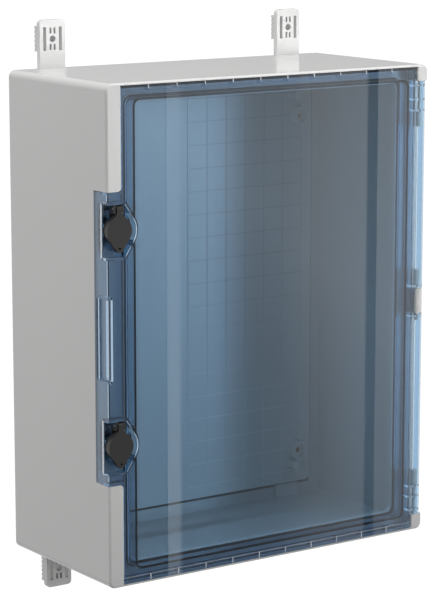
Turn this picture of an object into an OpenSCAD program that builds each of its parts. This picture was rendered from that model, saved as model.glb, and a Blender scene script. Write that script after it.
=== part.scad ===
// Wall-mounted polycarbonate enclosure with a hinged see-through door, two quarter-turn
// locks under flip-up covers, three removable hinge pins and four wall brackets.
// Origin: centre of the four wall screws, on the wall. X right, Y into the wall, Z up.

/* [Cabinet] */
// Outer width of the cabinet
cab_w = 396; // [340:1:520]
// Outer height of the cabinet
cab_h = 500; // [440:1:640]
// Depth from the door's face to the flat of the back
cab_d = 187; // [150:1:260]
// Thickness of the side walls
wall_t = 3.5; // [3:0.1:5]
// Thickness of the back wall
back_t = 4; // [3:0.1:5]
// Radius of the four long edges
corner_r = 7; // [6:0.5:10]
// Rounding of the front and back rims
edge_r = 2.5; // [1:0.1:2.8]

/* [Front deck and seal] */
// Depth of the deck that carries the seal, behind the door's face
deck_y = 20; // [18:0.5:26]
// Thickness of the deck
deck_t = 3.5; // [2.5:0.1:5]
// Width of the grey strips left of the door
strip_w = 16; // [14:0.5:20]
// Thickness of the lips above and below the door
lip_t = 2.3; // [1.8:0.1:3]
// Gap between the door and what it lies in
door_gap = 0.6; // [0.4:0.1:1]
// Distance of the sealing rib from the cabinet's left side
rib_left = 31; // [30:0.5:36]
// Distance of the sealing rib from the cabinet's right side
rib_right = 24; // [22:0.5:30]
// Distance of the sealing rib from the cabinet's top and bottom
rib_end = 15; // [14:0.5:20]
// Corner radius of the sealing rib
rib_r = 8; // [6:0.5:12]
// Thickness of the sealing rib
rib_t = 2.4; // [1.8:0.1:3]
// Width of the gasket
gasket_w = 5; // [4.5:0.1:6]
// Gap between the sealing rib and the gasket when nothing presses
gasket_gap = 0.2; // [0.1:0.05:0.4]
// Thickness of the gasket
gasket_t = 2.8; // [2.2:0.1:3.5]

/* [Back wall] */
// Height of the raised middle field of the back wall
field_rise = 7; // [4:0.5:9]
// Distance of the raised field from the cabinet's sides
field_inset = 20; // [16:0.5:26]
// Corner radius of the raised field
field_r = 10; // [6:0.5:16]
// Diameter of the mounting plate bosses
boss_d = 22; // [18:0.5:26]
// Height of the mounting plate bosses on the raised field
boss_h = 10; // [6:0.5:16]
// Distance between the mounting plate bosses, side to side
boss_dx = 315; // [260:1:318]
// Distance between the mounting plate bosses, top to bottom
boss_dz = 376; // [320:1:384]
// How far the middle of the boss pattern lies below the cabinet's middle
boss_drop = 4; // [0:1:8]
// Diameter of the threaded inserts in the bosses
insert_d = 8; // [7:0.1:9]
// Length of the threaded inserts
insert_l = 8; // [6:0.5:9]
// Bore of the threaded inserts
insert_bore = 5; // [4:0.1:6]
// Thickness of the stiffening ribs behind the raised field
back_rib_t = 3; // [2:0.5:4]

/* [Door] */
// Thickness of the door's panel
door_t = 3; // [2.5:0.1:4]
// Thickness of the door's skirt
skirt_t = 2.2; // [1.8:0.1:3]
// Depth of the door's skirt
skirt_y = 12; // [10:0.5:15]
// Height of the tab that wraps the cabinet's left front edge
tab_h = 290; // [270:1:320]
// Depth of the tab on the cabinet's left side
tab_y = 23.7; // [21:0.1:28]
// Thickness of the tab's side
tab_t = 2.6; // [2:0.1:3]
// Fillet between the tab and the door's left edge
tab_fillet = 4; // [2:0.5:6]
// Pitch of the small webs in the door's rim
web_pitch = 33.3; // [25:0.1:40]
// Height of the small webs in the door's rim
web_h = 5.5; // [4:0.1:7]
// Height of the finger grip in the tab
grip_h = 81; // [60:1:110]
// Depth of the finger grip into the tab's side
grip_in = 3.2; // [2:0.1:4]

/* [Hinge] */
// Distance of the hinge axis from the cabinet's right side
hinge_side = 6.6; // [6.2:0.1:8]
// Outer radius of the door's hinge barrel
barrel_r = 6; // [5.6:0.1:6.2]
// Wall of the door's hinge barrel
barrel_t = 1.8; // [1.4:0.1:1.8]
// Diameter of a hinge pin's shank
pin_d = 4; // [3:0.1:5]
// Diameter of a hinge pin's head
pin_head_d = 8; // [6.5:0.1:8.2]
// Length of a hinge pin's head
pin_head_l = 16; // [10:1:20]
// Radial clearance of pins, rotors and cover pins in their bores
run_gap = 0.05; // [0.02:0.01:0.1]
// Height of the corner blocks that carry the top and bottom pins
block_h = 16.8; // [14:0.1:22]
// Width of the corner blocks
block_w = 14; // [13.2:0.1:14.6]
// Height of the middle knuckle
knuckle_h = 26; // [20:1:40]
// Thickness of the webs that guide the pins in the door
pin_web_t = 2; // [1.5:0.1:3]

/* [Locks] */
// Distance between the two locks
lock_dz = 214.4; // [180:0.2:220]
// Distance of the lock axis from the cabinet's left side
lock_side = 14.5; // [14.5:0.1:16]
// Height of a lock pocket
pocket_h = 52; // [50:0.5:60]
// Depth of a lock pocket
pocket_y = 10.2; // [9.8:0.1:11]
// Radius of the round part of a lock pocket
pocket_r = 19.7; // [18:0.1:20]
// Thickness of the pocket's floor and walls
pocket_t = 2.4; // [2:0.1:3]
// Radius of a lock cover's round part
cover_r = 14; // [12:0.1:14.4]
// Thickness of a lock cover
cover_t = 5.4; // [4:0.1:5.4]
// Distance from the lock axis to the cover's tip
cover_tip = 21.5; // [20:0.1:23]
// Width of the cover's neck
neck_w = 5.6; // [4.5:0.1:6.5]
// Height of the cover's hinge axis over the lock axis
cover_hinge_z = 22; // [21:0.1:22.4]
// Diameter of the cover's hinge pin
cover_pin_d = 2; // [1.6:0.1:2.4]
// Diameter of the lock's rotor
rotor_d = 12; // [10:0.1:12.4]
// Outer diameter of the lock's threaded barrel
lock_barrel_d = 16; // [15.4:0.1:17]
// Reach of the lock's cam
cam_l = 18; // [15:0.5:18.5]
// Width of the lock's cam
cam_w = 14; // [12:0.5:15]
// Thickness of the lock's cam
cam_t = 3; // [2:0.1:4]

/* [Wall brackets] */
// Gap between the cabinet's back and the wall
wall_gap = 4; // [2:0.5:8]
// Distance of the wall screws from the cabinet's sides
screw_in = 49; // [47:0.5:80]
// How far the wall screws lie beyond the cabinet's top and bottom
screw_out = 30; // [26:0.5:40]
// Width of a bracket
bracket_w = 30; // [28:0.5:36]
// Thickness of a bracket's shank
bracket_t = 6; // [5:0.1:6.8]
// Thickness of a bracket's face and sides
bracket_wall = 2.5; // [2:0.1:3]
// Diameter of the wall screw holes
wall_hole_d = 7; // [5:0.1:8]
// Diameter of the screws that hold the brackets to the cabinet
fix_screw_d = 5; // [4:0.1:6]
// Distance of those screws from the cabinet's top and bottom
fix_screw_in = 42.5; // [34:0.5:50]

/* [Hidden] */
$fn = 64;
eps = 0.01;
front_y = -(cab_d + wall_gap);
half_w = cab_w / 2;
half_h = cab_h / 2;
// sealing rib, measured at its outer face
rib_w = cab_w - rib_left - rib_right;
rib_h = cab_h - 2 * rib_end;
rib_x = (rib_left - rib_right) / 2;
channel_t = 1.2;
channel_play = 0.2;
gasket_out = (gasket_w - rib_t) / 2;
gasket_y = deck_y - gasket_t;
rib_y = gasket_y - gasket_gap;
channel_out = gasket_out + channel_play + channel_t;
opening_cut = 2 * (gasket_w - gasket_out + channel_play + channel_t);
opening_w = rib_w - opening_cut;
opening_h = rib_h - opening_cut;
// door outline
door_left = -half_w + strip_w + door_gap;
door_right = half_w - strip_w;
door_half_h = half_h - lip_t - door_gap;
strip_z = tab_h / 2 + door_gap;
// hinge
hinge_x = half_w - hinge_side;
hinge_y = barrel_r;
barrel_end = half_h - block_h - door_gap;
block_z = half_h - block_h;
knuckle_gap = 1;
top_webs = [half_h - 48, half_h - 36.5, half_h - 22];
middle_web = knuckle_h / 2 + knuckle_gap + pin_web_t / 2 + 1.2;
pin_depth = 10;
barrel_back = hinge_y + barrel_r + 5;
// back wall
field_y = cab_d - back_t - field_rise;
rear_floor = field_y + back_t;
// locks
lock_x = -half_w + lock_side;
body_y = pocket_y - 2.8;
cover_y = 0.2;
cover_hinge_y = 3.2;
ear_t = 2.9;
ear_gap = 0.3;
nut_t = 4;
nut_play = 0.2;
cam_y = deck_y + deck_t + 0.7;
well_play = 2.5;
mouth_play = 4.8;
well_y = cam_y + cam_t + 6.5;
well_left = -half_w + wall_t + 3;
well_right = lock_x + cam_l + 1.5;
drive_w = 8;
drive_play = 0.05;
cam_screw_d = 4;
// brackets
bracket_y = cab_d - bracket_t - 1;
wall_y = cab_d + wall_gap;
screw_dx = cab_w - 2 * screw_in;
screw_z = half_h + screw_out;
fix_z = half_h - fix_screw_in;
foot_end = fix_z - 11;
bracket_end = screw_z + 19.5;
bracket_r = 4.5;
head_h = 26;
slit_x = 9.3;
slit_w = 3.6;
slit_h = 24;
bush_d = 12;
fix_boss_d = 10;
fix_boss_h = 15;

grey = [0.80, 0.80, 0.79];
clear_blue = [0.42, 0.52, 0.62, 0.55];
black = [0.16, 0.16, 0.16];
steel = [0.62, 0.62, 0.63];

// ---------- shared forms ----------

// moves a piece drawn with y = depth behind the door's face to its place before the wall
module in_cabinet() {
    translate([0, front_y, 0]) children();
}

// rectangle with round corners, centred
module round_rect(w, h, r) {
    square([w - 2 * r, h], center = true);
    square([w, h - 2 * r], center = true);
    for (x = [-1, 1], z = [-1, 1])
        translate([x * (w / 2 - r), z * (h / 2 - r)]) circle(r);
}

// a flat outline drawn in X and Z, standing from depth y0 to depth y1
module stand(y0, y1) {
    translate([0, y1, 0]) rotate([90, 0, 0]) linear_extrude(y1 - y0) children();
}

// frame of even thickness t with round corners
module frame(w, h, r, t, y0, y1) {
    stand(y0, y1) difference() {
        round_rect(w, h, r);
        round_rect(w - 2 * t, h - 2 * t, max(r - t, 0.5));
    }
}

// section across a block of width w: depth runs along the second axis, all rims rounded by e
module rim_section(w, e, depth) {
    translate([-w / 2 + e, 0]) square([w - 2 * e, depth]);
    translate([-w / 2, e]) square([w, depth - 2 * e]);
    for (x = [-1, 1], y = [e, depth - e]) translate([x * (w / 2 - e), y]) circle(e);
}

// block with round corners and rounded front and back rims
module soft_block(w, h, r, e, depth) {
    linear_extrude(h - 2 * r, center = true) rim_section(w, e, depth);
    rotate([90, 0, 90]) linear_extrude(w - 2 * r, center = true)
        mirror([1, -1, 0]) rim_section(h, e, depth);
    for (x = [-1, 1], z = [-1, 1]) translate([x * (w / 2 - r), 0, z * (h / 2 - r)])
        rotate([-90, 0, 0]) rotate_extrude() intersection() {
            rim_section(2 * r, e, depth);
            square([r + 1, depth]);
        }
}

// box given by its lowest and highest corners
module span(low, high) {
    translate(low) cube(high - low);
}

// round bar along Y from depth y0 to depth y1
module bar_y(d, y0, y1) {
    translate([0, y1, 0]) rotate([90, 0, 0]) cylinder(d = d, h = y1 - y0);
}

module mirror_x() { children(); mirror([1, 0, 0]) children(); }
module mirror_z() { children(); mirror([0, 0, 1]) children(); }

// ---------- base ----------

// space that the door, its tab and its barrel need in the base
module door_space() {
    // main field of the door
    span([-half_w + strip_w, -1, -half_h + lip_t], [half_w - block_w, deck_y, half_h - lip_t]);
    // tab on the left, in front and on the side
    span([-half_w - 1, -1, -strip_z], [-half_w + strip_w + eps, deck_y, strip_z]);
    span([-half_w - 1, -1, -strip_z], [-half_w + tab_t + door_gap, tab_y + door_gap, strip_z]);
    // fillets between the tab and the door's left edge
    mirror_z() stand(-1, deck_y) difference() {
        translate([door_left - tab_fillet, tab_h / 2]) square([tab_fillet, tab_fillet]);
        translate([door_left - tab_fillet, tab_h / 2 + tab_fillet]) circle(tab_fillet - door_gap);
    }
    // barrel on the right
    span([half_w - block_w - eps, -1, -block_z], [half_w + 1, barrel_back, block_z]);
}

// hollows that make the strips, lips and corner blocks thin-walled
module strip_hollows() {
    mirror_z() span([-half_w + wall_t, door_t, strip_z + pocket_t],
                    [-half_w + strip_w - pocket_t, deck_y + deck_t + eps, half_h - wall_t]);
}

// mouth in the deck through which a lock's cam passes
module cam_mouth(z) {
    span([lock_x - cam_w / 2 - well_play, deck_y - 1, z - cam_w / 2 - well_play],
         [lock_x + cam_w / 2 + mouth_play, deck_y + deck_t + 1, z + cam_l + well_play]);
}

// barrel of the base on the hinge axis, with the rib that carries it
module knuckle() {
    translate([hinge_x, hinge_y, 0]) cylinder(r = barrel_r, h = knuckle_h, center = true);
    span([hinge_x - barrel_r, hinge_y, -knuckle_h / 2],
         [hinge_x + barrel_r, deck_y + 1, knuckle_h / 2]);
}

// wall that closes the deck behind the door's tab
module tab_backing() {
    span([-half_w + tab_t + door_gap, deck_y, -strip_z],
         [well_left, tab_y + door_gap + wall_t, strip_z]);
}

module boss_places() {
    for (x = [-1, 1], z = [-1, 1])
        translate([x * boss_dx / 2, 0, z * boss_dz / 2 - boss_drop]) children();
}

module fix_places() {
    for (x = [-1, 1], z = [-1, 1]) translate([x * screw_dx / 2, 0, z * fix_z]) children();
}

// outer form without its inside
module base_shell() {
    difference() {
        soft_block(cab_w, cab_h, corner_r, edge_r, cab_d);
        // inside, up to the back wall
        stand(deck_y + deck_t, cab_d - back_t)
            round_rect(cab_w - 2 * wall_t, cab_h - 2 * wall_t, corner_r - wall_t);
        // opening in the deck
        translate([rib_x, 0, 0]) stand(deck_y - 1, deck_y + deck_t + 1)
            round_rect(opening_w, opening_h, rib_r - rib_t);
        door_space();
        strip_hollows();
    }
}

module base() {
    color(grey) in_cabinet() difference() {
        union() {
            base_shell();
            // raised field of the back wall with its bosses
            stand(field_y, cab_d - edge_r) round_rect(cab_w - 2 * field_inset,
                                                     cab_h - 2 * field_inset, field_r);
            boss_places() bar_y(boss_d, field_y - boss_h, field_y + 1);
            fix_places() bar_y(fix_boss_d, field_y - fix_boss_h, field_y + 1);
            // channel for the gasket
            translate([rib_x, 0, 0]) {
                frame(rib_w + 2 * channel_out, rib_h + 2 * channel_out, rib_r + channel_out,
                      channel_t, gasket_y + 1, deck_y + 1);
                frame(opening_w + 2 * channel_t, opening_h + 2 * channel_t, rib_r - rib_t + channel_t,
                      channel_t, gasket_y + 1, deck_y + 1);
            }
            tab_backing();
            knuckle();
        }
        for (s = [-1, 1]) cam_mouth(s * lock_dz / 2);
        // bores of the hinge pins
        translate([hinge_x, hinge_y, 0]) {
            cylinder(d = pin_d + 2 * run_gap, h = knuckle_h + 2, center = true);
            mirror_z() translate([0, 0, block_z - 1])
                cylinder(d = pin_d + 2 * run_gap, h = pin_depth + 3);
        }
        // rounding that lets the door's edge swing past the corner blocks
        mirror_z() block_rounding();
        // wells and insert bores of the mounting plate bosses
        boss_places() {
            bar_y(boss_d - 8, field_y - boss_h - 1, field_y - boss_h + 5);
            bar_y(insert_d, field_y - boss_h, field_y - boss_h + 5 + insert_l);
        }
        // hollow behind the raised field, and the bracket seats that open from it
        difference() {
            stand(rear_floor, cab_d + 1) round_rect(cab_w - 2 * field_inset - 2 * back_t,
                                                   cab_h - 2 * field_inset - 2 * back_t,
                                                   field_r - back_t);
            for (x = [-1, 0, 1])
                span([x * screw_dx / 4 - back_rib_t / 2, rear_floor - 1, -half_h],
                     [x * screw_dx / 4 + back_rib_t / 2, cab_d + 2, half_h]);
            for (z = [-1, 0, 1])
                span([-half_w, rear_floor - 1, z * fix_z / 2 - back_rib_t / 2],
                     [half_w, cab_d + 2, z * fix_z / 2 + back_rib_t / 2]);
        }
        for (x = [-1, 1]) mirror_z()
            span([x * screw_dx / 2 - bracket_w / 2 - 0.3, bracket_y - 0.1, foot_end - 1],
                 [x * screw_dx / 2 + bracket_w / 2 + 0.3, cab_d + 1, half_h + 1]);
        fix_places() bar_y(fix_screw_d, field_y - fix_boss_h + 3, cab_d);
    }
}

// cutter for the round front corner of a corner block
module block_rounding() {
    r = 2;
    translate([half_w - block_w, 0, block_z - 1]) linear_extrude(block_h - lip_t + 1)
        difference() {
            translate([-1, -1]) square(r + 1);
            translate([r, r]) circle(r);
        }
}

// cup behind the deck in which a lock's cam turns; the wall behind the tab closes its left side
module cam_cup(z) {
    color(grey) in_cabinet() difference() {
        span([-half_w + wall_t, deck_y + deck_t, z - cam_l - 6],
             [well_right + 2, well_y + 2, z + cam_l + 6]);
        span([well_left, deck_y, z - cam_l - 4], [well_right, well_y, z + cam_l + 4]);
        tab_backing();
    }
}

module gasket() {
    color(black) in_cabinet() translate([rib_x, 0, 0])
        frame(rib_w + 2 * gasket_out, rib_h + 2 * gasket_out, rib_r + gasket_out, gasket_w,
              gasket_y, deck_y);
}

module plate_inserts() {
    color(steel) in_cabinet() boss_places() difference() {
        bar_y(insert_d, field_y - boss_h + 5, field_y - boss_h + 5 + insert_l);
        bar_y(insert_bore, field_y - boss_h + 4, field_y - boss_h + 4 + insert_l);
    }
}

// ---------- door ----------

// front outline of the door, without its barrel
module door_outline() {
    translate([(door_left + door_right) / 2, 0])
        round_rect(door_right - door_left, 2 * door_half_h, 2);
    translate([-half_w, -tab_h / 2]) square([strip_w + door_gap + 2, tab_h]);
    // fillets between the tab and the left edge
    for (z = [-1, 1]) difference() {
        translate([door_left - tab_fillet, min(z * tab_h / 2, z * (tab_h / 2 + tab_fillet))])
            square([tab_fillet + 1, tab_fillet]);
        translate([door_left - tab_fillet, z * (tab_h / 2 + tab_fillet)]) circle(tab_fillet);
    }
}

// outline of a lock pocket, grown by g on its closed sides
module pocket_outline(g) {
    flat = pocket_h / 2 + g;
    half_chord = pocket_r * 0.66 + g;
    edge = pocket_r * 0.76 + g;
    translate([-lock_side - 1, -flat]) square([lock_side + 7.5 + g * 0.6, 2 * flat]);
    circle(pocket_r + g);
    polygon([[0, flat], [6.5 + g * 0.6, flat], [edge, half_chord], [edge, -half_chord],
             [6.5 + g * 0.6, -flat], [0, -flat]]);
}

module at_lock(z) {
    translate([lock_x, 0, z]) children();
}

// plan of the barrel: a gutter that wraps the hinge pin from the front to the back right
module barrel_plan() {
    difference() {
        union() {
            translate([hinge_x, hinge_y]) circle(barrel_r);
            translate([door_right - 1, 0]) square([hinge_x - door_right + 1, barrel_r]);
        }
        translate([hinge_x, hinge_y]) circle(barrel_r - barrel_t);
        translate([door_right - 2, barrel_t]) square([hinge_x - door_right + 2, barrel_r]);
        translate([door_right - 2, hinge_y]) square([hinge_x - door_right + 2, barrel_r + 1]);
        translate([hinge_x, hinge_y]) rotate(60) square([barrel_r * 2, barrel_r * 2]);
    }
}

// web across the barrel that guides the pin
module pin_web(z) {
    translate([0, 0, z - pin_web_t / 2]) linear_extrude(pin_web_t) {
        translate([hinge_x, hinge_y]) circle(barrel_r);
        translate([door_right - 1, 0]) square([hinge_x - door_right + 1, skirt_y]);
    }
}

module door_barrels() {
    middle_end = knuckle_h / 2 + knuckle_gap;
    difference() {
        union() {
            mirror_z() {
                translate([0, 0, middle_end]) linear_extrude(barrel_end - middle_end) barrel_plan();
                for (z = top_webs) pin_web(z);
                pin_web(middle_web);
            }
        }
        translate([hinge_x, hinge_y, 0])
            cylinder(d = pin_d + 2 * run_gap, h = cab_h, center = true);
    }
}

// plan of the finger grip cut, from the front face round to the tab's side
module grip_plan() {
    polygon([[-1, -1], [5.5, -1], [5.5, 0], [grip_in, 8.6], [grip_in, tab_y - 5],
             [0, tab_y - 2.4], [-1, tab_y - 2.4]]);
}

module door() {
    color(clear_blue) in_cabinet() {
        difference() {
            union() {
                stand(0, door_t) door_outline();
                // skirt round the door's edge
                difference() {
                    stand(0, skirt_y) door_outline();
                    translate([(door_left + door_right) / 2, 0, 0]) stand(-1, skirt_y + 1)
                        square([door_right - door_left - 2 * skirt_t, 2 * door_half_h - 2 * skirt_t],
                               center = true);
                    span([-half_w + tab_t, -1, -tab_h / 2 + skirt_t],
                         [door_left + skirt_t + 1, skirt_y + 1, tab_h / 2 - skirt_t]);
                }
                // side of the tab
                span([-half_w, 0, -tab_h / 2], [-half_w + tab_t, tab_y, tab_h / 2]);
                // wall behind the finger grip
                span([-half_w, 0, -grip_h / 2 - pocket_t],
                     [-half_w + grip_in + pocket_t, deck_y - 1, grip_h / 2 + pocket_t]);
                translate([rib_x, 0, 0]) frame(rib_w, rib_h, rib_r, rib_t, 0, rib_y);
                rim_webs();
                // walls and floors of the lock pockets
                for (s = [-1, 1]) at_lock(s * lock_dz / 2) intersection() {
                    stand(0, pocket_y + pocket_t) pocket_outline(pocket_t);
                    span([-lock_side, -1, -cab_h / 4], [cab_w, cab_d, cab_h / 4]);
                }
            }
            for (s = [-1, 1]) at_lock(s * lock_dz / 2) {
                stand(-1, pocket_y) pocket_outline(0);
                bar_y(lock_barrel_d + 2 * run_gap, pocket_y - 1, pocket_y + pocket_t + 1);
            }
            translate([-half_w, 0, -grip_h / 2]) linear_extrude(grip_h) grip_plan();
        }
        door_barrels();
    }
}

// small webs and the low inner rail in the door's rim, top and bottom
module rim_webs() {
    count = floor((rib_w - 2 * rib_r) / 2 / web_pitch + 0.5);
    mirror_z() {
        for (i = [-count : count - 1])
            span([(i + 0.5) * web_pitch - 0.6, 1, door_half_h - web_h],
                 [(i + 0.5) * web_pitch + 0.6, skirt_y - 3, door_half_h - 1]);
        span([door_left + 1, 1, door_half_h - web_h - 1],
             [door_right - 1, skirt_y - 5, door_half_h - web_h]);
    }
}

// ---------- hinge pins ----------

// pin with its head at z0 and its shank running down (dir -1) or up (dir 1) to z1
module hinge_pin(head_low, head_high, tip) {
    color(steel) in_cabinet() translate([hinge_x, hinge_y, 0]) {
        translate([0, 0, head_low]) cylinder(d = pin_head_d, h = head_high - head_low);
        translate([0, 0, min(tip, head_low)])
            cylinder(d = pin_d, h = max(tip, head_high) - min(tip, head_low));
    }
}

pin_seat = top_webs[0] - pin_web_t / 2;
middle_seat = middle_web + pin_web_t / 2;

module hinge_pin_top() {
    hinge_pin(pin_seat - pin_head_l, pin_seat - 0.1, block_z + pin_depth);
}
module hinge_pin_middle() {
    hinge_pin(middle_seat + 0.1, middle_seat + pin_head_l, -middle_seat - 4);
}
module hinge_pin_bottom() {
    hinge_pin(-pin_seat + 0.1, -pin_seat + pin_head_l, -block_z - pin_depth);
}

// ---------- locks ----------

module lock_body(z) {
    color(black) in_cabinet() at_lock(z) difference() {
        union() {
            bar_y(2 * cover_r - 2, body_y, pocket_y);
            span([-neck_w / 2 - ear_gap - ear_t, body_y, 8],
                 [neck_w / 2 + ear_gap + ear_t, pocket_y, pocket_h / 2 - 0.6]);
            mirror_x() span([neck_w / 2 + ear_gap, 1.6, cover_hinge_z - 5],
                            [neck_w / 2 + ear_gap + ear_t, body_y + 1, pocket_h / 2 - 0.6]);
            bar_y(lock_barrel_d, pocket_y - 1, deck_y - 1);
        }
        bar_y(rotor_d + 2 * run_gap, body_y - 1, deck_y);
        translate([0, cover_hinge_y, cover_hinge_z]) rotate([0, 90, 0])
            cylinder(d = cover_pin_d + 2 * run_gap, h = 30, center = true);
    }
}

module lock_nut(z) {
    color(steel) in_cabinet() at_lock(z) difference() {
        translate([0, pocket_y + pocket_t + nut_play + nut_t, 0]) rotate([90, 30, 0])
            cylinder(r = 11.4, h = nut_t, $fn = 6);
        bar_y(lock_barrel_d + 2 * run_gap, pocket_y, deck_y);
    }
}

// rotor with a double-bit key hole in front and a square at its end
module lock_rotor(z) {
    color(steel) in_cabinet() at_lock(z) difference() {
        union() {
            bar_y(rotor_d, body_y + 0.4, cam_y);
            span([-drive_w / 2, cam_y - 1, -drive_w / 2], [drive_w / 2, cam_y + cam_t, drive_w / 2]);
        }
        difference() {
            union() {
                bar_y(6.6, body_y - 1, body_y + 6);
                span([-4.9, body_y - 1, -1.2], [4.9, body_y + 6, 1.2]);
            }
            bar_y(3.2, body_y - 2, body_y + 7);
        }
        bar_y(cam_screw_d, cam_y - 4, cam_y + cam_t + 1);
    }
}

module lock_cam(z) {
    color(steel) in_cabinet() at_lock(z) difference() {
        stand(cam_y, cam_y + cam_t) {
            circle(cam_w / 2);
            translate([-cam_w / 2, 0]) square([cam_w, cam_l - 3]);
            translate([-cam_w / 2 + 3, 0]) square([cam_w - 6, cam_l]);
            for (x = [-1, 1]) translate([x * (cam_w / 2 - 3), cam_l - 3]) circle(3);
        }
        span([-drive_w / 2 - drive_play, cam_y - 1, -drive_w / 2 - drive_play],
             [drive_w / 2 + drive_play, cam_y + cam_t + 1, drive_w / 2 + drive_play]);
    }
}

module cam_screw(z) {
    color(steel) in_cabinet() at_lock(z) difference() {
        union() {
            bar_y(11, cam_y + cam_t + 0.1, cam_y + cam_t + 2.6);
            bar_y(cam_screw_d, cam_y - 4, cam_y + cam_t + 1);
        }
        translate([0, cam_y + cam_t + 2.7, 0]) rotate([90, 0, 0]) cylinder(r = 2.3, h = 1.8, $fn = 6);
    }
}

// leaf-shaped outline of the cover below its neck
module cover_outline() {
    tip_r = 2.4;
    tip_z = cover_tip - tip_r;
    lean = asin((cover_r - tip_r) / tip_z);
    circle(cover_r);
    translate([0, -tip_z]) circle(tip_r);
    polygon([[cover_r * cos(lean), -cover_r * sin(lean)],
             [tip_r * cos(lean), -tip_z - tip_r * sin(lean)],
             [-tip_r * cos(lean), -tip_z - tip_r * sin(lean)],
             [-cover_r * cos(lean), -cover_r * sin(lean)]]);
    shoulder = 42;
    polygon([[cover_r * cos(shoulder), cover_r * sin(shoulder)], [neck_w / 2, cover_r + 2.6],
             [-neck_w / 2, cover_r + 2.6], [-cover_r * cos(shoulder), cover_r * sin(shoulder)]]);
    translate([-neck_w / 2, 0]) square([neck_w, cover_hinge_z]);
}

module lock_cover(z) {
    color(black) in_cabinet() at_lock(z) difference() {
        union() {
            stand(cover_y, cover_y + cover_t) cover_outline();
            translate([0, cover_hinge_y, cover_hinge_z]) rotate([0, 90, 0])
                cylinder(r = 2.7, h = neck_w, center = true);
        }
        // hollow back of the cover
        stand(cover_y + 2, cover_y + cover_t + 1) circle(cover_r - 2);
        // seal hole near the tip
        translate([0, 0, -cover_tip + 3.4]) bar_y(1.6, -1, cover_y + cover_t + 1);
        translate([0, cover_hinge_y, cover_hinge_z]) rotate([0, 90, 0])
            cylinder(d = cover_pin_d + 2 * run_gap, h = 30, center = true);
    }
}

module cover_pin(z) {
    color(steel) in_cabinet() at_lock(z) translate([0, cover_hinge_y, cover_hinge_z])
        rotate([0, 90, 0]) cylinder(d = cover_pin_d, h = neck_w + 2 * ear_gap + 2 * ear_t, center = true);
}

// ---------- wall brackets ----------

// bracket for the top right corner, drawn at its place
module bracket() {
    mid = (foot_end + bracket_end) / 2;
    long = bracket_end - foot_end;
    head_low = screw_z - head_h / 2;
    head_high = screw_z + head_h / 2;
    translate([screw_dx / 2, 0, 0]) difference() {
        union() {
            translate([0, 0, mid]) stand(bracket_y, bracket_y + bracket_t)
                round_rect(bracket_w, long, bracket_r);
            span([-bracket_w / 2, bracket_y, head_low], [bracket_w / 2, wall_y, head_high]);
        }
        // hollow back of the shank and of the head
        span([-bracket_w / 2 + bracket_wall, bracket_y + bracket_wall, fix_z + 9],
             [bracket_w / 2 - bracket_wall, wall_y + 1, head_low - 2]);
        difference() {
            span([-bracket_w / 2 + bracket_wall, bracket_y + bracket_t, head_low - 1],
                 [bracket_w / 2 - bracket_wall, wall_y + 1, head_high + 1]);
            translate([0, 0, screw_z]) bar_y(bush_d, bracket_y, wall_y);
        }
        // slits beside the screw hole
        mirror_x() span([slit_x - slit_w / 2, bracket_y - 1, screw_z - slit_h / 2],
                        [slit_x + slit_w / 2, wall_y + 1, screw_z + slit_h / 2]);
        // short grooves above and below the screw hole
        for (x = [-1, 1], z = [-1, 1])
            translate([x * 2.35, 0, screw_z + z * 8.3])
                span([-1.1, bracket_y - 1, -3], [1.1, bracket_y + bracket_t - 1.5, 3]);
        // teeth on the head's outer sides
        mirror_x() for (i = [-2 : 2])
            span([bracket_w / 2 - 0.8, bracket_y + bracket_t, screw_z + i * 4.6 - 0.8],
                 [bracket_w / 2 + 1, wall_y + 1, screw_z + i * 4.6 + 0.8]);
        translate([0, 0, screw_z]) bar_y(wall_hole_d, bracket_y - 1, wall_y + 1);
        // screw to the cabinet
        translate([0, 0, fix_z]) bar_y(fix_screw_d + 0.5, bracket_y - 1, wall_y);
    }
}

module bracket_top_right() { color(grey) in_cabinet() bracket(); }
module bracket_top_left() { color(grey) in_cabinet() mirror([1, 0, 0]) bracket(); }
module bracket_bottom_right() { color(grey) in_cabinet() mirror([0, 0, 1]) bracket(); }
module bracket_bottom_left() {
    color(grey) in_cabinet() mirror([1, 0, 0]) mirror([0, 0, 1]) bracket();
}

module bracket_screws() {
    color(steel) in_cabinet() fix_places() difference() {
        union() {
            bar_y(10, bracket_y + bracket_t, bracket_y + bracket_t + 3.2);
            bar_y(fix_screw_d, field_y - fix_boss_h + 5, bracket_y + bracket_t + 1);
        }
        translate([0, bracket_y + bracket_t + 3.3, 0]) rotate([90, 0, 0])
            cylinder(r = 2, h = 2.2, $fn = 6);
    }
}

base();
gasket();
cam_cup(lock_dz / 2);  // cam_cup_upper
cam_cup(-lock_dz / 2);  // cam_cup_lower
plate_inserts();
door();
hinge_pin_top();
hinge_pin_middle();
hinge_pin_bottom();
lock_body(lock_dz / 2);  // lock_body_upper
lock_nut(lock_dz / 2);  // lock_nut_upper
lock_rotor(lock_dz / 2);  // lock_rotor_upper
lock_cam(lock_dz / 2);  // lock_cam_upper
cam_screw(lock_dz / 2);  // cam_screw_upper
lock_cover(lock_dz / 2);  // lock_cover_upper
cover_pin(lock_dz / 2);  // cover_pin_upper
lock_body(-lock_dz / 2);  // lock_body_lower
lock_nut(-lock_dz / 2);  // lock_nut_lower
lock_rotor(-lock_dz / 2);  // lock_rotor_lower
lock_cam(-lock_dz / 2);  // lock_cam_lower
cam_screw(-lock_dz / 2);  // cam_screw_lower
lock_cover(-lock_dz / 2);  // lock_cover_lower
cover_pin(-lock_dz / 2);  // cover_pin_lower
bracket_top_left();
bracket_top_right();
bracket_bottom_left();
bracket_bottom_right();
bracket_screws();
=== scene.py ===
"""Wall-mounted polycarbonate enclosure with a tinted see-through door, dressed for rendering."""

import math

import bpy
from mathutils import Matrix, Vector


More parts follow.
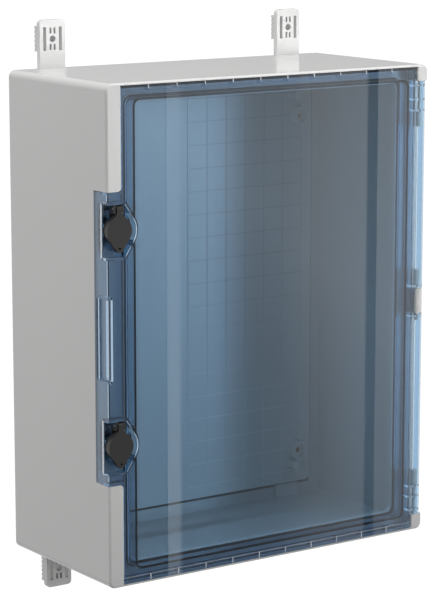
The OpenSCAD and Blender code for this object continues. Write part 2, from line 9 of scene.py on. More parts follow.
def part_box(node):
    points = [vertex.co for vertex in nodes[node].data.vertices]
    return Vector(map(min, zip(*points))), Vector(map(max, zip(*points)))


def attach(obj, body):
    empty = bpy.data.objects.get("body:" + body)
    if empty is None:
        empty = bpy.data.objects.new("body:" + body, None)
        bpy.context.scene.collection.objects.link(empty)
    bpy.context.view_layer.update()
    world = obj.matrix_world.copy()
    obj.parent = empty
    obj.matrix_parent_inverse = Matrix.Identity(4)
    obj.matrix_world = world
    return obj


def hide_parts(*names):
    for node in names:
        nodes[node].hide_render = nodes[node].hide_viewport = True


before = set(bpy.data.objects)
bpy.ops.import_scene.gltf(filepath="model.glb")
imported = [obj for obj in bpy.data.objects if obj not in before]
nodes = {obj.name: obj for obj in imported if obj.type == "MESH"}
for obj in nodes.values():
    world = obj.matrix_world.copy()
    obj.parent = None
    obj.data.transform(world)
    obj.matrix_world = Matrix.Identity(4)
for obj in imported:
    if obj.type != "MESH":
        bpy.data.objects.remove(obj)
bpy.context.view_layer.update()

# ---------- camera ----------
# The cabinet is seen from its lock side, a little from above, through a long lens.
# The camera is held level: its side axis stays in the horizontal plane.

AZIMUTH = math.radians(-34.72)
ELEVATION = math.radians(10.38)
EYE = (-1.42859, -2.1565, 0.46561)

camera_data = bpy.data.cameras.new("camera")
camera_data.lens = 146.2
camera_data.sensor_width = 36
camera_data.clip_end = 20
camera = bpy.data.objects.new("camera", camera_data)
bpy.context.scene.collection.objects.link(camera)
back = Vector((math.sin(AZIMUTH) * math.cos(ELEVATION), -math.cos(AZIMUTH) * math.cos(ELEVATION),
               math.sin(ELEVATION)))
side = Vector((math.cos(AZIMUTH), math.sin(AZIMUTH), 0))
turn = Matrix((side, back.cross(side), back)).transposed().to_4x4()
camera.matrix_world = Matrix.Translation(EYE) @ turn
bpy.context.scene.camera = camera
bpy.context.scene.view_settings.view_transform = "Standard"

# ---------- studio ----------
# A white room with one soft key from the right of the door, a fill from the lock side and one from above.
# Cards that only mirrors see stand for what the door's front and the cabinet's top reflect.

SEEN_RAYS = ("Is Camera Ray", "Is Glossy Ray", "Is Transmission Ray")


def light_path_sum(tree, *outputs):
    """Adds Light Path outputs, clamped to 1: 1 for every ray of the kinds named."""
    path = tree.nodes.new("ShaderNodeLightPath")
    total = path.outputs[outputs[0]]
    for name in outputs[1:]:
        add = tree.nodes.new("ShaderNodeMath")
        add.operation = "ADD"
        add.use_clamp = True
        tree.links.new(total, add.inputs[0])
        tree.links.new(path.outputs[name], add.inputs[1])
        total = add.outputs[0]
    return total


def maths(tree, operation, first, second=0.0, third=0.0):
    """Math node whose inputs are links or numbers."""
    node = tree.nodes.new("ShaderNodeMath")
    node.operation = operation
    for socket, value in zip(node.inputs, (first, second, third)):
        if isinstance(value, (int, float)):
            socket.default_value = value
        else:
            tree.links.new(value, socket)
    return node.outputs[0]


def map_range(tree, value, low, high, to_low=0.0, to_high=1.0, kind="LINEAR"):
    """Map Range node that takes low to to_low and high to to_high."""
    node = tree.nodes.new("ShaderNodeMapRange")
    node.interpolation_type = kind
    node.inputs["From Min"].default_value = low
    node.inputs["From Max"].default_value = high
    node.inputs["To Min"].default_value = to_low
    node.inputs["To Max"].default_value = to_high
    tree.links.new(value, node.inputs["Value"])
    return node.outputs["Result"]


def object_xyz(tree):
    """Separate XYZ node over the object's own coordinates."""
    apart = tree.nodes.new("ShaderNodeSeparateXYZ")
    tree.links.new(tree.nodes.new("ShaderNodeTexCoord").outputs["Object"], apart.inputs[0])
    return apart


world = bpy.data.worlds.new("studio")
bpy.context.scene.world = world
world.use_nodes = True
tree = world.node_tree
tree.nodes.clear()
ambient = tree.nodes.new("ShaderNodeBackground")
ambient.inputs["Color"].default_value = (1, 1, 1, 1)
ambient.inputs["Strength"].default_value = 0.42
white = tree.nodes.new("ShaderNodeBackground")
white.inputs["Color"].default_value = (1, 1, 1, 1)
pick = tree.nodes.new("ShaderNodeMixShader")
out = tree.nodes.new("ShaderNodeOutputWorld")
tree.links.new(light_path_sum(tree, *SEEN_RAYS), pick.inputs[0])
tree.links.new(ambient.outputs[0], pick.inputs[1])
tree.links.new(white.outputs[0], pick.inputs[2])
tree.links.new(pick.outputs[0], out.inputs["Surface"])


def softbox(name, place, aim, width, height, power, spread=180):
    """Area lamp at place that points to aim. It lights the part but is seen in no mirror."""
    lamp = bpy.data.lights.new(name, "AREA")
    lamp.shape = "RECTANGLE"
    lamp.size, lamp.size_y = width, height
    lamp.energy = power
    lamp.spread = math.radians(spread)
    box = bpy.data.objects.new(name, lamp)
    bpy.context.scene.collection.objects.link(box)
    box.location = place
    box.rotation_euler = (Vector(aim) - Vector(place)).to_track_quat("-Z", "Y").to_euler()
    box.visible_camera = False
    box.visible_glossy = False
    box.visible_transmission = False
    return box


softbox("key", (1.15, -1.9, 0.25), (-0.1, -0.05, 0.26), 0.5, 0.8, 2.0, 36)
softbox("fill", (-1.5, 0.15, 0.6), (-0.2, -0.1, 0.0), 0.6, 0.6, 5.4)
softbox("top", (-0.3, -0.3, 2.2), (0, -0.1, 0.2), 1.4, 1.0, 34)

FLOOR_Z = -0.75
bpy.ops.object.select_all(action="DESELECT")
bpy.ops.mesh.primitive_plane_add(size=40, location=(0, 0, FLOOR_Z))
floor = bpy.context.object
floor.name = "floor"
paint = bpy.data.materials.new("floor_paint")
paint.use_nodes = True
tree = paint.node_tree
tree.nodes.clear()
matt = tree.nodes.new("ShaderNodeBsdfDiffuse")
matt.inputs["Color"].default_value = (0.3, 0.3, 0.3, 1)
glow = tree.nodes.new("ShaderNodeEmission")

# in mirrors the floor is dim near the part and brightens to the right and behind it
apart = object_xyz(tree)
across = maths(tree, "MULTIPLY_ADD", apart.outputs["X"], 0.9, 0.1)
level = maths(tree, "MULTIPLY_ADD", apart.outputs["Y"], 0.43, across)
level = maths(tree, "MINIMUM", maths(tree, "MAXIMUM", level, 0.28), 1.05)
behind = maths(tree, "GREATER_THAN", apart.outputs["Y"], 0.3)
level = maths(tree, "MAXIMUM", level, behind)
level = maths(tree, "MAXIMUM", level, light_path_sum(tree, "Is Camera Ray"))
tree.links.new(level, glow.inputs["Strength"])
pick = tree.nodes.new("ShaderNodeMixShader")
out = tree.nodes.new("ShaderNodeOutputMaterial")
tree.links.new(light_path_sum(tree, *SEEN_RAYS), pick.inputs[0])
tree.links.new(matt.outputs[0], pick.inputs[1])
tree.links.new(glow.outputs[0], pick.inputs[2])
tree.links.new(pick.outputs[0], out.inputs["Surface"])
floor.data.materials.append(paint)

DOOR_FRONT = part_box("door")[0][1]
STRIP_Y = -1.4


def mirror_card(name, place, width, height):
    """Upright card that only mirrors see, with an empty material; gives the card and its node tree."""
    bpy.ops.object.select_all(action="DESELECT")
    bpy.ops.mesh.primitive_plane_add(size=1, location=place, rotation=(math.pi / 2, 0, 0))
    card = bpy.context.object
    card.name = name
    card.scale = (width, height, 1)
    for ray in ("camera", "diffuse", "transmission", "volume_scatter", "shadow"):
        setattr(card, "visible_" + ray, False)
    material = bpy.data.materials.new(name)
    material.use_nodes = True
    material.node_tree.nodes.clear()
    card.data.materials.append(material)
    return card, material.node_tree


def studio_strip(name, plane_y, door_left, door_right, sharp_left, glow_high, glow_low, see_level):
    """Upright strip seen only in mirrors, placed so that the door shows it between two places on its front.

    It adds a glow, from glow_high at its top to glow_low, to what is behind it and lets see_level of
    that through. One edge is sharp and the other fades out.
    """
    eye = camera.location
    eye_y = 2 * DOOR_FRONT - eye.y
    far = (eye_y - plane_y) / (eye_y - DOOR_FRONT)
    left = eye.x + (door_left - eye.x) * far
    right = eye.x + (door_right - eye.x) * far
    low = FLOOR_Z + 0.02
    high = eye.z - 0.1
    middle = ((left + right) / 2, plane_y, (low + high) / 2)
    strip, tree = mirror_card(name, middle, right - left, high - low)
    apart = object_xyz(tree)
    sharp = 1 if sharp_left else -1
    cover = map_range(tree, apart.outputs["X"], 0.5 * sharp, 0.2 * sharp, kind="SMOOTHSTEP")
    rise = map_range(tree, apart.outputs["Y"], 0.14, -0.24, glow_high, glow_low)
    light = tree.nodes.new("ShaderNodeEmission")
    tree.links.new(rise, light.inputs["Strength"])
    veil = tree.nodes.new("ShaderNodeBsdfTransparent")
    veil.inputs["Color"].default_value = (see_level, see_level, see_level, 1)
    clear_air = tree.nodes.new("ShaderNodeBsdfTransparent")
    both = tree.nodes.new("ShaderNodeAddShader")
    fade = tree.nodes.new("ShaderNodeMixShader")
    end = tree.nodes.new("ShaderNodeOutputMaterial")
    tree.links.new(light.outputs[0], both.inputs[0])
    tree.links.new(veil.outputs[0], both.inputs[1])
    tree.links.new(cover, fade.inputs[0])
    tree.links.new(clear_air.outputs[0], fade.inputs[1])
    tree.links.new(both.outputs[0], fade.inputs[2])
    tree.links.new(fade.outputs[0], end.inputs["Surface"])


studio_strip("bright_strip", STRIP_Y, -0.1292, -0.1105, True, 0.5, 1.15, 1.0)
studio_strip("line_strip", STRIP_Y, -0.1312, -0.1292, True, 0.0, 0.0, 0.5)
studio_strip("dark_strip", STRIP_Y, 0.1165, 0.1322, False, 0.0, 0.0, 0.15)
studio_strip("right_glow", STRIP_Y - 0.05, 0.0, 0.21, False, 0.5, 0.35, 1.0)

# card behind the part that dims what its top mirrors at a low angle, so that the brackets stand out in it
back_card, tree = mirror_card("back_card", (0.6, 1.2, 0.75), 3.0, 0.9)
veil = tree.nodes.new("ShaderNodeBsdfTransparent")
veil.inputs["Color"].default_value = (0.46, 0.46, 0.46, 1)
out = tree.nodes.new("ShaderNodeOutputMaterial")
tree.links.new(veil.outputs[0], out.inputs["Surface"])

# ---------- enclosure base ----------
# The cabinet's tub: side walls, back wall and deck, injection moulded in light grey polycarbonate.
# It is satin, with the fine grain of a spark-eroded mould. The cups behind the deck, in which the cams
# turn, are of the same plastic.


def new_group(name, inputs, outputs):
    """Shader node group with named sockets; gives the group with its input and output nodes."""
    group = bpy.data.node_groups.new(name, "ShaderNodeTree")
    for socket, kind in inputs:
        group.interface.new_socket(socket, in_out="INPUT", socket_type=kind)
    for socket, kind in outputs:
        group.interface.new_socket(socket, in_out="OUTPUT", socket_type=kind)
    return group, group.nodes.new("NodeGroupInput"), group.nodes.new("NodeGroupOutput")


def noise_node(tree, coords, scale, detail):
    """Noise over the coordinates; scale is a number or a link."""
    noise = tree.nodes.new("ShaderNodeTexNoise")
    noise.inputs["Detail"].default_value = detail
    tree.links.new(coords, noise.inputs["Vector"])
    if isinstance(scale, (int, float)):
        noise.inputs["Scale"].default_value = scale
    else:
        tree.links.new(scale, noise.inputs["Scale"])
    return noise.outputs["Fac"]


def shaded(tree, colour, factor):
    """Colour times a factor near 1."""
    mix = tree.nodes.new("ShaderNodeVectorMath")
    mix.operation = "SCALE"
    tree.links.new(colour, mix.inputs[0])
    tree.links.new(factor, mix.inputs["Scale"])
    return mix.outputs[0]


FINISH_IN = (("Colour", "NodeSocketColor"), ("Roughness", "NodeSocketFloat"), ("Grain", "NodeSocketFloat"),
             ("Shade", "NodeSocketFloat"))
FINISH_OUT = (("Colour", "NodeSocketColor"), ("Roughness", "NodeSocketFloat"), ("Height", "NodeSocketFloat"))

# moulded plastic: slow flow shade in the colour, patchy gloss and a fine grain
moulded, given, gives = new_group("moulded_plastic", FINISH_IN, FINISH_OUT)
coords = moulded.nodes.new("ShaderNodeTexCoord").outputs["Object"]
flow = noise_node(moulded, coords, 9.0, 2.0)
patch = noise_node(moulded, coords, 60.0, 3.0)
grain = noise_node(moulded, coords, given.outputs["Grain"], 2.0)
offset = maths(moulded, "SUBTRACT", maths(moulded, "MULTIPLY_ADD", grain, 0.4, flow), 0.7)
factor = maths(moulded, "MULTIPLY_ADD", offset, given.outputs["Shade"], 1.0)
moulded.links.new(shaded(moulded, given.outputs["Colour"], factor), gives.inputs["Colour"])
gloss = maths(moulded, "MULTIPLY_ADD", maths(moulded, "SUBTRACT", patch, 0.5), 0.02,
              given.outputs["Roughness"])
moulded.links.new(gloss, gives.inputs["Roughness"])
moulded.links.new(grain, gives.inputs["Height"])

# metal: drawn streaks along Y, dull patches and fine pits
metal_group, given, gives = new_group("worked_metal", FINISH_IN, FINISH_OUT)
coords = metal_group.nodes.new("ShaderNodeTexCoord").outputs["Object"]
stretch = metal_group.nodes.new("ShaderNodeMapping")
stretch.inputs["Scale"].default_value = (1.0, 0.06, 1.0)
metal_group.links.new(coords, stretch.inputs["Vector"])
streak = noise_node(metal_group, stretch.outputs["Vector"], given.outputs["Grain"], 3.0)
patch = noise_node(metal_group, coords, 180.0, 3.0)
offset = maths(metal_group, "SUBTRACT", patch, 0.5)
factor = maths(metal_group, "MULTIPLY_ADD", offset, given.outputs["Shade"], 1.0)
metal_group.links.new(shaded(metal_group, given.outputs["Colour"], factor), gives.inputs["Colour"])
gloss = maths(metal_group, "MULTIPLY_ADD", offset, 0.25, given.outputs["Roughness"])
metal_group.links.new(gloss, gives.inputs["Roughness"])
metal_group.links.new(streak, gives.inputs["Height"])


def finish(name, group, colour, roughness, grain, shade, bump, metallic=0.0):
    """Principled material whose colour, roughness and bump come from one of the finish groups."""
    material = bpy.data.materials.new(name)
    material.use_nodes = True
    tree = material.node_tree
    shader = tree.nodes["Principled BSDF"]
    shader.inputs["Metallic"].default_value = metallic
    source = tree.nodes.new("ShaderNodeGroup")
    source.name = "Finish"
    source.node_tree = group
    source.inputs["Colour"].default_value = (*colour, 1)
    source.inputs["Roughness"].default_value = roughness
    source.inputs["Grain"].default_value = grain
    source.inputs["Shade"].default_value = shade
    relief = tree.nodes.new("ShaderNodeBump")
    relief.inputs["Strength"].default_value = bump
    relief.inputs["Distance"].default_value = 0.0002
    tree.links.new(source.outputs["Colour"], shader.inputs["Base Color"])
    tree.links.new(source.outputs["Roughness"], shader.inputs["Roughness"])
    tree.links.new(source.outputs["Height"], relief.inputs["Height"])
    tree.links.new(relief.outputs["Normal"], shader.inputs["Normal"])
    return material


def coat(name, material):
    """Gives a CAD node its material."""
    mesh = nodes[name].data
    mesh.materials.clear()
    mesh.materials.append(material)


FIELD_HALF_W = 0.178
FIELD_HALF_H = 0.230
FIELD_Y = -0.015
JOINT_MID = 0.0014
JOINT_HALF_W = 0.0024
SIDE_SHADE = 0.42
FOOT_EXTRA_SHADE = 0.5
shell_grey = finish("shell_grey", moulded, (0.60, 0.60, 0.595), 0.06, 700, 0.03, 0.02)

# painted shade: the colour in the joint round the raised field of the back wall is darkened for the shade
# that falls in it, at its foot more than at its sides
tree = shell_grey.node_tree
apart = object_xyz(tree)
past_side = maths(tree, "SUBTRACT", maths(tree, "ABSOLUTE", apart.outputs["X"]), FIELD_HALF_W)
past_end = maths(tree, "SUBTRACT", maths(tree, "ABSOLUTE", apart.outputs["Z"]), FIELD_HALF_H)
past = maths(tree, "SUBTRACT", maths(tree, "MAXIMUM", past_side, past_end), JOINT_MID)
painted_joint_shade = maths(tree, "LESS_THAN", maths(tree, "ABSOLUTE", past), JOINT_HALF_W)
painted_joint_shade = maths(tree, "MULTIPLY", painted_joint_shade, maths(tree, "GREATER_THAN", apart.outputs["Y"], FIELD_Y - 0.0005))
foot = maths(tree, "LESS_THAN", apart.outputs["Z"], -FIELD_HALF_H + 0.001)
painted_joint_shade = maths(tree, "MULTIPLY", painted_joint_shade, maths(tree, "MULTIPLY_ADD", foot, FOOT_EXTRA_SHADE, SIDE_SHADE))
# the painted shade scales the wall's colour down inside the joint
shade_dimmed_colour = shaded(tree, tree.nodes["Finish"].outputs["Colour"], maths(tree, "SUBTRACT", 1.0, painted_joint_shade))
tree.links.new(shade_dimmed_colour, tree.nodes["Principled BSDF"].inputs["Base Color"])
coat("base", shell_grey)
for end in ("upper", "lower"):
    coat("cam_cup_" + end, shell_grey)

# ---------- grid on the back wall ----------
# Thin raised lines on the back wall's field, 25 mm apart, for setting out what is mounted on it.
# They are moulded with the wall, in its plastic.

GRID_PITCH = 0.025
COLUMNS = 7
ROWS = 18
FIRST_X = 0.0132
FIRST_Z = -0.2153
LINE_WIDTH = 0.0006
LINE_HEIGHT = 0.00035
LINE_SINK = 0.00005
LINE_END_GAP = 0.002
# line colours with painted shade at the top and painted light at the foot
LINE_TOP_SHADE_GREY = (0.40, 0.40, 0.395)
LINE_FOOT_LIGHT_GREY = (0.70, 0.70, 0.695)


def tone(tree, factor, first, second):
    """Mix node between two colours or links."""
    mix = tree.nodes.new("ShaderNodeMix")
    mix.data_type = "RGBA"
    tree.links.new(factor, mix.inputs[0])
    for socket, value in ((mix.inputs[6], first), (mix.inputs[7], second)):
        if isinstance(value, tuple):
            socket.default_value = (*value, 1)
        else:
            tree.links.new(value, socket)
    return mix.outputs[2]


def moulded_line(width, height, x, z):
    """A low bar on the field."""
    bpy.ops.object.select_all(action="DESELECT")
    bpy.ops.mesh.primitive_cube_add(size=1)
    bar = bpy.context.object
    bar.scale = (width, LINE_HEIGHT, height)
    bar.location = (x, FIELD_Y - LINE_HEIGHT / 2 + LINE_SINK, z)
    bpy.ops.object.transform_apply(location=True, rotation=False, scale=True)
    return bar


lines = []
grid_w = (COLUMNS - 1) * GRID_PITCH
grid_h = 2 * (FIELD_HALF_H - LINE_END_GAP)
mid_x = FIRST_X + grid_w / 2
for i in range(COLUMNS):
    lines.append(moulded_line(LINE_WIDTH, grid_h, FIRST_X + i * GRID_PITCH, 0))
for i in range(ROWS):
    lines.append(moulded_line(grid_w, LINE_WIDTH, mid_x, FIRST_Z + i * GRID_PITCH))
bpy.ops.object.select_all(action="DESELECT")
for bar in lines:
    bar.select_set(True)
bpy.context.view_layer.objects.active = lines[0]
bpy.ops.object.join()
grid = bpy.context.object
grid.name = "grid_lines"

# painted shade and light: the lines are coloured darker than the wall near the top and paler towards the
# floor, for how the light from above falls on them
line_grey = finish("line_grey", moulded, LINE_TOP_SHADE_GREY, 0.4, 700, 0.03, 0.02)
tree = line_grey.node_tree
shade_to_light = map_range(tree, object_xyz(tree).outputs["Z"], 0.0, -0.14)
tree.links.new(tone(tree, shade_to_light, LINE_TOP_SHADE_GREY, LINE_FOOT_LIGHT_GREY), tree.nodes["Finish"].inputs["Colour"])
grid.data.materials.append(line_grey)
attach(grid, "cabinet")

# ---------- gasket ----------
# The seal that the door's rib presses: black cellular rubber, foamed into the channel of the deck.
# Its free face is crowned, as it is when poured.


def apply_tool(piece, operation, tool):
    """Joins a tool to a piece (UNION) or cuts it away (DIFFERENCE), and removes the tool."""
    step = piece.modifiers.new("tool", "BOOLEAN")
    step.operation = operation
    step.object = tool
    bpy.ops.object.select_all(action="DESELECT")
    piece.select_set(True)
    bpy.context.view_layer.objects.active = piece
    bpy.ops.object.modifier_apply(modifier=step.name)
    bpy.data.objects.remove(tool)


def finished_copy(name, body, material, radius, segments=2, tools=()):
    """Stands for a CAD node: the same solid with the small radius on its edges that making it leaves."""
    piece = bpy.data.objects.new(name + "_finished", nodes[name].data.copy())
    bpy.context.scene.collection.objects.link(piece)
    bpy.ops.object.select_all(action="DESELECT")
    piece.select_set(True)
    bpy.context.view_layer.objects.active = piece
    bpy.ops.object.mode_set(mode="EDIT")
    bpy.ops.mesh.select_all(action="SELECT")
    bpy.ops.mesh.remove_doubles(threshold=0.000004)
    bpy.ops.mesh.dissolve_limited(angle_limit=math.radians(1))
    bpy.ops.object.mode_set(mode="OBJECT")
    for operation, tool in tools:
        apply_tool(piece, operation, tool)
    bpy.ops.object.shade_smooth_by_angle(angle=math.radians(32))
    bevel = piece.modifiers.new("edges", "BEVEL")
    bevel.width = radius
    bevel.segments = segments
    bevel.limit_method = "ANGLE"
    bevel.angle_limit = math.radians(35)
    bevel.harden_normals = True
    bpy.ops.object.modifier_apply(modifier=bevel.name)
    piece.data.materials.clear()
    piece.data.materials.append(material)
    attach(piece, body)
    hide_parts(name)
    return piece


foam_group, given, gives = new_group("foam_cells", FINISH_IN, FINISH_OUT)
coords = foam_group.nodes.new("ShaderNodeTexCoord").outputs["Object"]
cells = foam_group.nodes.new("ShaderNodeTexVoronoi")
foam_group.links.new(coords, cells.inputs["Vector"])
foam_group.links.new(given.outputs["Grain"], cells.inputs["Scale"])
depth = cells.outputs["Distance"]
factor = maths(foam_group, "MULTIPLY_ADD", depth, given.outputs["Shade"], 0.7)
foam_group.links.new(shaded(foam_group, given.outputs["Colour"], factor), gives.inputs["Colour"])
foam_group.links.new(maths(foam_group, "MULTIPLY_ADD", depth, -0.2, given.outputs["Roughness"]),
                     gives.inputs["Roughness"])
foam_group.links.new(depth, gives.inputs["Height"])

foam = finish("foam", foam_group, (0.014, 0.014, 0.015), 0.9, 1400, 0.6, 0.8)
finished_copy("gasket", "cabinet", foam, 0.0011, 4)

# ---------- plate inserts ----------
# Threaded bushings that take the screws of a mounting plate. They are turned from brass, with a
# bright face, and pressed into the four plate bosses.

brass = finish("brass", metal_group, (0.60, 0.50, 0.36), 0.34, 2200, 0.25, 0.25, 1.0)
finished_copy("plate_inserts", "cabinet", brass, 0.0002)

# ---------- door ----------
# See-through door of blue-tinted clear polycarbonate, moulded in one piece with its rim and barrels.
# Its tint is split between the faces that light passes, and is deeper where the barrels turn away
# and in the rim, where the skirt doubles the wall; the rim's deeper tint is also painted shade on the deck
# behind it.

PANEL_MID_X = 0.0035
PANEL_HALF_W = 0.1654
PANEL_HALF_H = 0.2299
PANEL_SOFT = 0.0006
RIM_END_X = 0.1755
BARREL_X = 0.1822
SHADOW_GAP_Z = 0.2450
SKIN_BACK_Y = -0.1878
WEB_PITCH = 0.0333
WEB_HALF_T = 0.0005
TICK_TOP_Z = 0.2442
TICK_LEVEL = 0.65
LIP_Z = 0.2412
LIP_HALF_T = 0.0004
LIP_LEVEL = 0.25
SILL_X = -0.1975
SILL_Y = -0.1797
SILL_HALF_T = 0.0010
SILL_HALF_L = 0.027
LOCK_Z = 0.1072
MOST_TURNS = 3.5


def near(tree, value, place, reach):
    """1 where the value lies within reach of the place."""
    away = maths(tree, "ABSOLUTE", maths(tree, "SUBTRACT", value, place))
    return maths(tree, "LESS_THAN", away, reach)


clear = bpy.data.materials.new("door_clear")
clear.use_nodes = True
tree = clear.node_tree
glass = tree.nodes["Principled BSDF"]
glass.inputs["Roughness"].default_value = 0.0
glass.inputs["IOR"].default_value = 1.58
glass.inputs["Transmission Weight"].default_value = 1.0

# masks: the rim, the webs' places and the barrels where they turn away
apart = object_xyz(tree)
x, y, z = apart.outputs["X"], apart.outputs["Y"], apart.outputs["Z"]
height = maths(tree, "ABSOLUTE", z)
from_middle = maths(tree, "ABSOLUTE", maths(tree, "SUBTRACT", x, PANEL_MID_X))
past_side = maths(tree, "SUBTRACT", from_middle, PANEL_HALF_W)
past_end = maths(tree, "SUBTRACT", height, PANEL_HALF_H)
past_panel = maths(tree, "MAXIMUM", past_side, past_end)
soft = map_range(tree, past_panel, -PANEL_SOFT, PANEL_SOFT, kind="SMOOTHSTEP")
rim = maths(tree, "MULTIPLY", soft, maths(tree, "LESS_THAN", x, RIM_END_X))
web_way = maths(tree, "PINGPONG", maths(tree, "ADD", x, WEB_PITCH / 2), WEB_PITCH / 2)
at_web = maths(tree, "LESS_THAN", web_way, WEB_HALF_T)
facing = tree.nodes.new("ShaderNodeLayerWeight").outputs["Facing"]
barrel = maths(tree, "GREATER_THAN", x, BARREL_X)
barrel_side = maths(tree, "MULTIPLY", barrel, map_range(tree, facing, 0.2, 0.6))
# the rim's deeper tint: partly the skirt's doubled wall, partly painted shade on the deck seen through it
tint = tone(tree, rim, (0.50, 0.67, 0.82), (0.48, 0.63, 0.77))
tint = tone(tree, barrel_side, tint, (0.30, 0.40, 0.48))
# painted shadow: the door's top edge is coloured nearly black for the dark gap under the top lip
tint = tone(tree, maths(tree, "GREATER_THAN", z, SHADOW_GAP_Z), tint, (0.02, 0.03, 0.04))

# painted highlights: white is mixed in for the light that the fillets catch at the ends of the webs, above
# the lower lip and beside the locks
over_top = maths(tree, "GREATER_THAN", z, TICK_TOP_Z)
past_lip = maths(tree, "MAXIMUM", over_top, maths(tree, "LESS_THAN", z, -LIP_Z))
web_glints = maths(tree, "MULTIPLY", maths(tree, "MULTIPLY", at_web, past_lip), TICK_LEVEL)
lip = maths(tree, "MULTIPLY", near(tree, z, -LIP_Z, LIP_HALF_T), LIP_LEVEL)
in_front = maths(tree, "LESS_THAN", y, SKIN_BACK_Y)
painted_highlights = maths(tree, "MULTIPLY", maths(tree, "MAXIMUM", web_glints, lip), in_front)
outside = maths(tree, "LESS_THAN", x, SILL_X)
sill = maths(tree, "MULTIPLY", near(tree, y, SILL_Y, SILL_HALF_T), outside)
sill = maths(tree, "MULTIPLY", sill, near(tree, height, LOCK_Z, SILL_HALF_L))
painted_highlights = maths(tree, "MAXIMUM", painted_highlights, sill)

flow = tree.nodes.new("ShaderNodeGroup")
flow.node_tree = moulded
flow.inputs["Grain"].default_value = 40
flow.inputs["Shade"].default_value = 0.02
relief = tree.nodes.new("ShaderNodeBump")
relief.inputs["Strength"].default_value = 0.0015
relief.inputs["Distance"].default_value = 0.002
tree.links.new(tint, flow.inputs["Colour"])
tree.links.new(flow.outputs["Colour"], glass.inputs["Base Color"])
tree.links.new(flow.outputs["Height"], relief.inputs["Height"])
tree.links.new(relief.outputs["Normal"], glass.inputs["Normal"])
see = tree.nodes.new("ShaderNodeBsdfTransparent")
# the rim lets less light through to the deck behind it: partly its doubled wall, partly painted shade
tree.links.new(tone(tree, rim, (0.71, 0.82, 0.905), (0.48, 0.58, 0.68)), see.inputs["Color"])
pick = tree.nodes.new("ShaderNodeMixShader")
# a ray that the walls have turned many times goes straight on, so that no corner of the glass is black
depth = tree.nodes.new("ShaderNodeLightPath").outputs["Ray Depth"]
straight = maths(tree, "GREATER_THAN", depth, MOST_TURNS)
straight = maths(tree, "MAXIMUM", straight, light_path_sum(tree, "Is Shadow Ray", "Is Diffuse Ray"))
tree.links.new(straight, pick.inputs[0])
tree.links.new(glass.outputs[0], pick.inputs[1])
tree.links.new(see.outputs[0], pick.inputs[2])
# painted highlights: a light diffuse white mixed over the glass where the masks above mark them
highlight_white = tree.nodes.new("ShaderNodeBsdfDiffuse")
highlight_white.inputs["Color"].default_value = (0.9, 0.93, 0.96, 1)
both = tree.nodes.new("ShaderNodeMixShader")
tree.links.new(painted_highlights, both.inputs[0])
tree.links.new(pick.outputs[0], both.inputs[1])
tree.links.new(highlight_white.outputs[0], both.inputs[2])
tree.links.new(both.outputs[0], tree.nodes["Material Output"].inputs["Surface"])
coat("door", clear)

# ---------- hinge pins ----------
# Pins on which the door turns, of natural nylon, pushed in from the middle.
# Their heads show in the webs of the door.

pin_nylon = finish("pin_nylon", moulded, (0.90, 0.83, 0.74), 0.34, 900, 0.1, 0.03)
for name in ("hinge_pin_top", "hinge_pin_middle", "hinge_pin_bottom"):
    coat(name, pin_nylon)

# ---------- locks ----------
# Quarter-turn locks, held in the door's tab by a nut: bodies and flip covers of black glass-filled
# nylon with a dull grain; nuts, rotors, cams, cam screws and cover pins of plated zinc.

black_nylon = finish("black_nylon", moulded, (0.018, 0.017, 0.0165), 0.46, 1800, 0.3, 0.2)
zinc = finish("zinc", metal_group, (0.56, 0.57, 0.58), 0.28, 1500, 0.2, 0.2, 1.0)
COVER_R = 0.01405
COVER_T = 0.0054
TIP_R = 0.0042
HOLLOW_R = 0.012
HOLLOW_Y = 0.002
SEAL_D = 0.0024
OVERLAP = 0.00002
CUT_PAST = 0.001


def rod(x, z, radius, y_low, y_high):
    """Closed cylinder along Y."""
    bpy.ops.object.select_all(action="DESELECT")
    bpy.ops.mesh.primitive_cylinder_add(vertices=72, radius=radius, depth=y_high - y_low,
                                        location=(x, (y_low + y_high) / 2, z), rotation=(math.pi / 2, 0, 0))
    bpy.ops.object.transform_apply(location=True, rotation=True, scale=True)
    return bpy.context.object


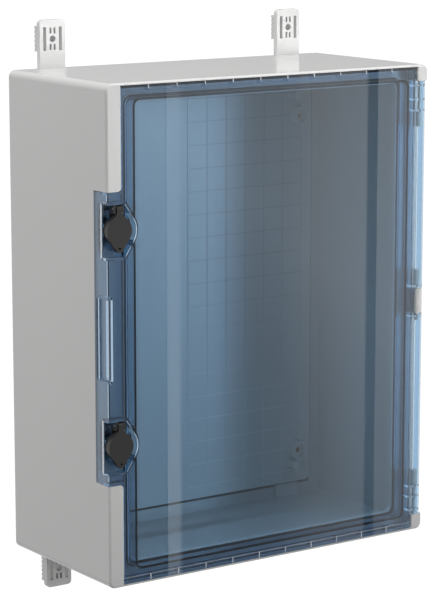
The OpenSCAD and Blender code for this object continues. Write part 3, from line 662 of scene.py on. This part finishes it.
def cover_tools(end):
    """Tools that give a flip cover its full lower lip.

    The lip is the hull of the round part and the tip; it is hollow behind and has a seal hole.
    """
    low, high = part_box("lock_cover_" + end)
    x = (low[0] + high[0]) / 2
    rotor_low, rotor_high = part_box("lock_rotor_" + end)
    z = (rotor_low[2] + rotor_high[2]) / 2
    back = low[1] + COVER_T + OVERLAP
    round_part = rod(x, z, COVER_R, low[1], back)
    tip = rod(x, low[2] + TIP_R, TIP_R, low[1], back)
    round_part.select_set(True)
    bpy.context.view_layer.objects.active = tip
    bpy.ops.object.join()
    bpy.ops.object.mode_set(mode="EDIT")
    bpy.ops.mesh.select_all(action="SELECT")
    bpy.ops.mesh.convex_hull()
    bpy.ops.object.mode_set(mode="OBJECT")
    hollow = rod(x, z, HOLLOW_R, low[1] + HOLLOW_Y, back + CUT_PAST)
    seal = rod(x, low[2] + TIP_R, SEAL_D / 2, low[1] - CUT_PAST, back + CUT_PAST)
    return (("UNION", tip), ("DIFFERENCE", hollow), ("DIFFERENCE", seal))


for end in ("upper", "lower"):
    finished_copy("lock_body_" + end, "door", black_nylon, 0.0004)
    finished_copy("lock_cover_" + end, "cover_" + end, black_nylon, 0.0005,
                  tools=cover_tools(end))
    finished_copy("lock_nut_" + end, "door", zinc, 0.0003)
    finished_copy("lock_rotor_" + end, "rotor_" + end, zinc, 0.0002)
    finished_copy("lock_cam_" + end, "rotor_" + end, zinc, 0.0004)
    finished_copy("cam_screw_" + end, "rotor_" + end, zinc, 0.0003)
    coat("cover_pin_" + end, zinc)

# ---------- wall brackets ----------
# Feet that hold the cabinet to the wall, moulded in light grey polycarbonate a little paler than the
# base. Each is screwed on from inside the cabinet.

bracket_grey = finish("bracket_grey", moulded, (0.66, 0.66, 0.655), 0.2, 700, 0.04, 0.03)
for name in ("bracket_top_left", "bracket_top_right", "bracket_bottom_left", "bracket_bottom_right"):
    coat(name, bracket_grey)

# ---------- bracket screws ----------
# Plated steel screws that hold the brackets from inside the cabinet.
# Each head has a cross recess, cut by two crossed bars.

RECESS_W = 0.0013
RECESS_L = 0.0056
RECESS_D = 0.0024
HEAD_R = 0.0055
screws = finished_copy("bracket_screws", "cabinet", zinc, 0.0002)
low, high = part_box("bracket_screws")


def cross_cutter(x, z):
    """Two crossed bars in a screw head's face."""
    bars = []
    for width, height in ((RECESS_L, RECESS_W), (RECESS_W, RECESS_L)):
        bpy.ops.object.select_all(action="DESELECT")
        bpy.ops.mesh.primitive_cube_add(size=1)
        bar = bpy.context.object
        bar.scale = (width, 2 * RECESS_D, height)
        bar.location = (x, low[1], z)
        bpy.ops.object.transform_apply(location=True, rotation=False, scale=True)
        bars.append(bar)
    return bars


for x in (low[0] + HEAD_R, high[0] - HEAD_R):
    for z in (low[2] + HEAD_R, high[2] - HEAD_R):
        for bar in cross_cutter(x, z):
            apply_tool(screws, "DIFFERENCE", bar)
